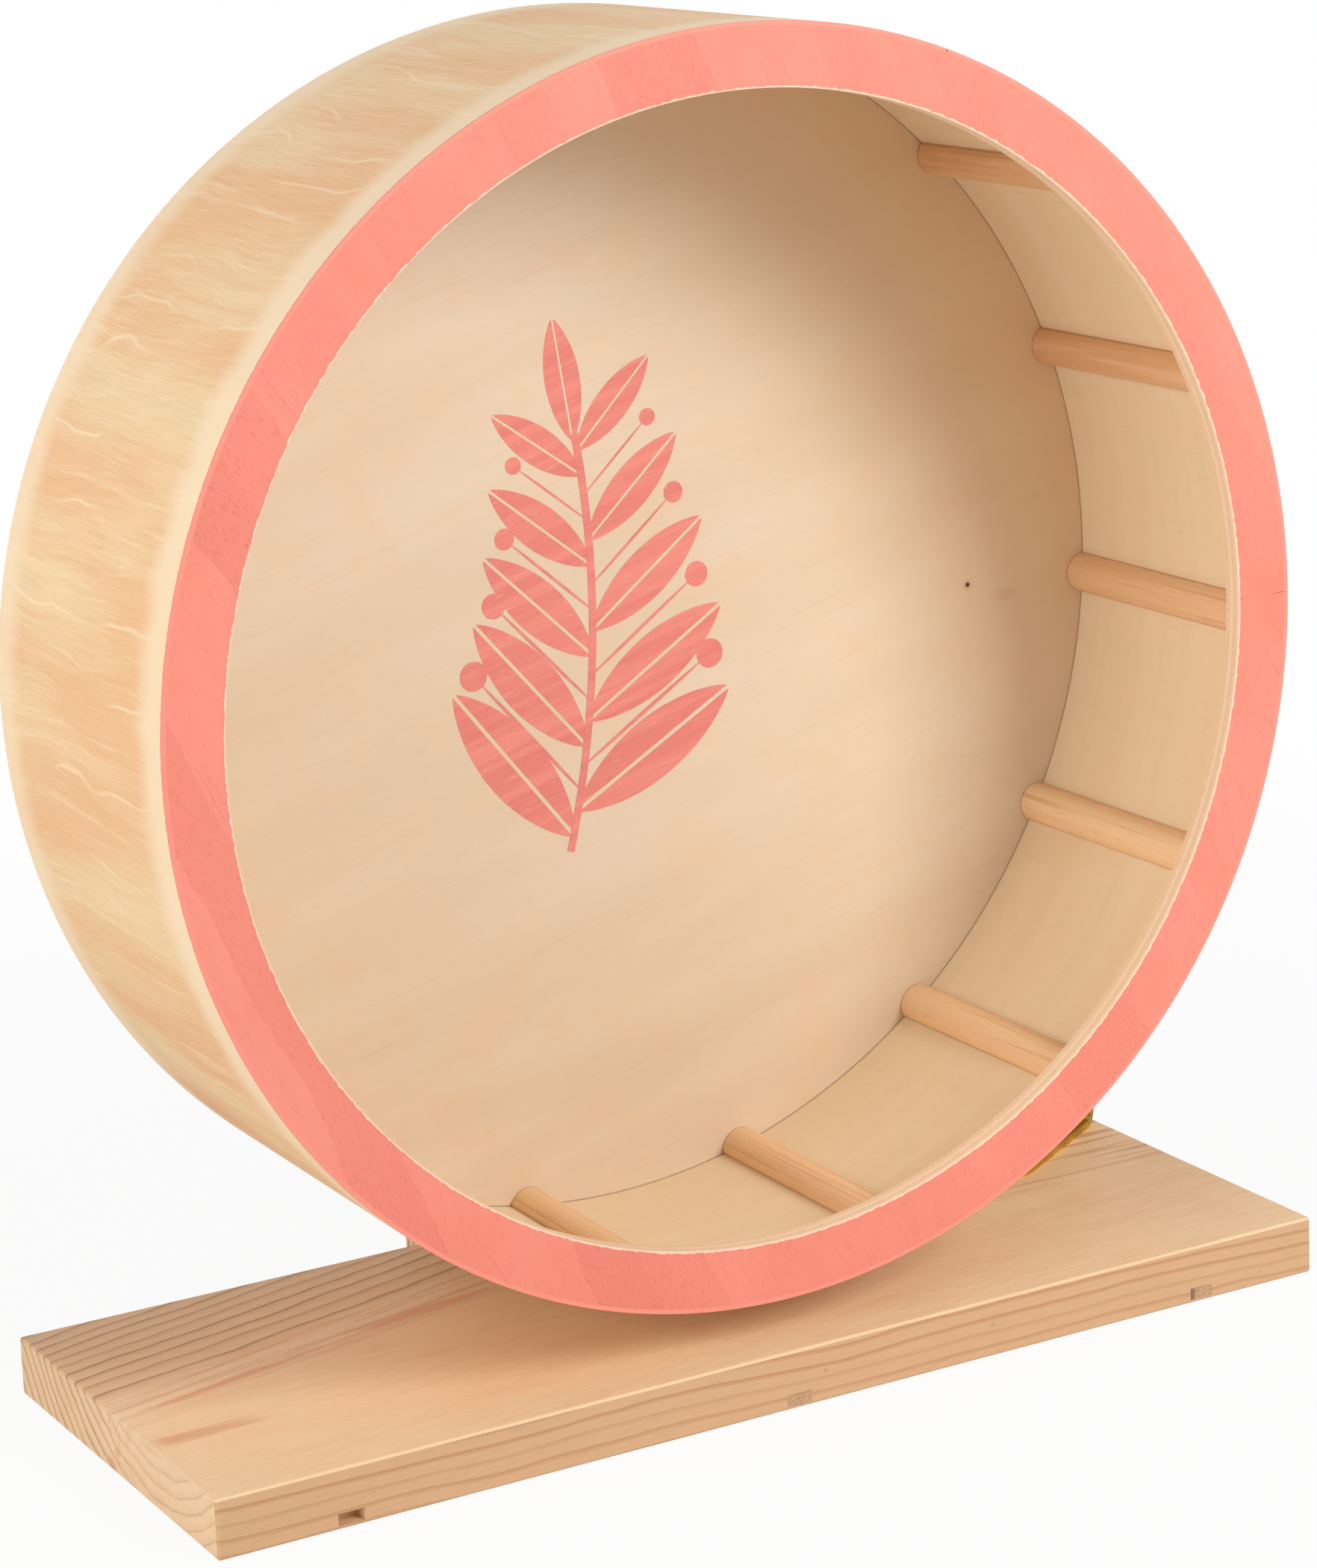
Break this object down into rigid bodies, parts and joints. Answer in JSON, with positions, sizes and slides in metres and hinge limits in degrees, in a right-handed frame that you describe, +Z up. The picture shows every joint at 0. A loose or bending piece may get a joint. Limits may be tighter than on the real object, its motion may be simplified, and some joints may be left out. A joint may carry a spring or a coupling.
{
  "type": "rodent exercise wheel",
  "caption": "Wooden running wheel for small rodents: a bent-veneer drum with a painted front ring and half-round rungs, turning on a ball bearing in front of a free-standing wooden stand.",
  "frame": {"origin": "centre of the base board's underside", "axes": "+Z up; -Y is the open front of the wheel; +X to the right seen from the front; the axle runs along Y"},
  "size_m": [0.292, 0.141, 0.3145],
  "materials": {
    "pine": "unfinished planed softwood",
    "plug_wood": "darker wood let in flush",
    "upright_ply": "sanded birch plywood",
    "zinc_screws": "bright zinc plate",
    "yellow_zinc": "yellow passivated zinc plate",
    "yellow_screws": "yellow passivated zinc plate",
    "zinc_steel": "bright zinc plate",
    "bearing_steel": "ground and polished bearing steel",
    "seal_steel": "pressed steel shield",
    "cage_plastic": "moulded nylon",
    "bent_veneer": "sanded bent veneer, uncoated",
    "ring_paint": "plywood with a thin coat of coral paint on its front",
    "birch_ply": "sanded birch plywood, printed on its front",
    "hub_wood": "sanded birch plywood",
    "dowel_wood": "half-round hardwood rod, uncoated"
  },
  "bodies": {
    "stand": {"base_board": "pine", "edge_plugs": "plug_wood", "upright": "upright_ply", "upright_screws": "zinc_screws", "upright_bracket_left": "yellow_zinc", "upright_bracket_right": "yellow_zinc", "fixing_bracket": "yellow_zinc", "bracket_screws_base": "yellow_screws", "bracket_screws_upright": "yellow_screws", "axle_bolt": "zinc_steel", "head_ring": "zinc_steel", "rear_ring": "zinc_steel", "axle_washer": "zinc_steel", "axle_nut": "zinc_steel", "bearing_inner_race": "bearing_steel"},
    "wheel": {"back_disc": "birch_ply", "bearing_outer_race": "bearing_steel", "bearing_seal_front": "seal_steel", "bearing_seal_rear": "seal_steel", "front_ring": "ring_paint", "hub_block": "hub_wood", "hub_screws": "zinc_screws", "rung_01": "dowel_wood", "rung_02": "dowel_wood", "rung_03": "dowel_wood", "rung_04": "dowel_wood", "rung_05": "dowel_wood", "rung_06": "dowel_wood", "rung_07": "dowel_wood", "rung_08": "dowel_wood", "rung_09": "dowel_wood", "rung_10": "dowel_wood", "rung_11": "dowel_wood", "rung_12": "dowel_wood", "rung_13": "dowel_wood", "rung_14": "dowel_wood", "rung_15": "dowel_wood", "running_band": "bent_veneer"},
    "bearing_cage": {"bearing_cage": "cage_plastic", "bearing_balls": "bearing_steel"}
  },
  "joints": [
    {"name": "wheel_spin", "type": "hinge", "parent": "stand", "child": "wheel", "pos_m": [0, 0.0495, 0.1695], "axis": [0, 1, 0], "continuous": true},
    {"name": "cage_spin", "type": "hinge", "parent": "stand", "child": "bearing_cage", "pos_m": [0, 0.0495, 0.1695], "axis": [0, 1, 0], "continuous": true}
  ],
  "couplings": [
    {"joint": "cage_spin", "follows": "wheel_spin", "ratio": 0.6323}
  ]
}
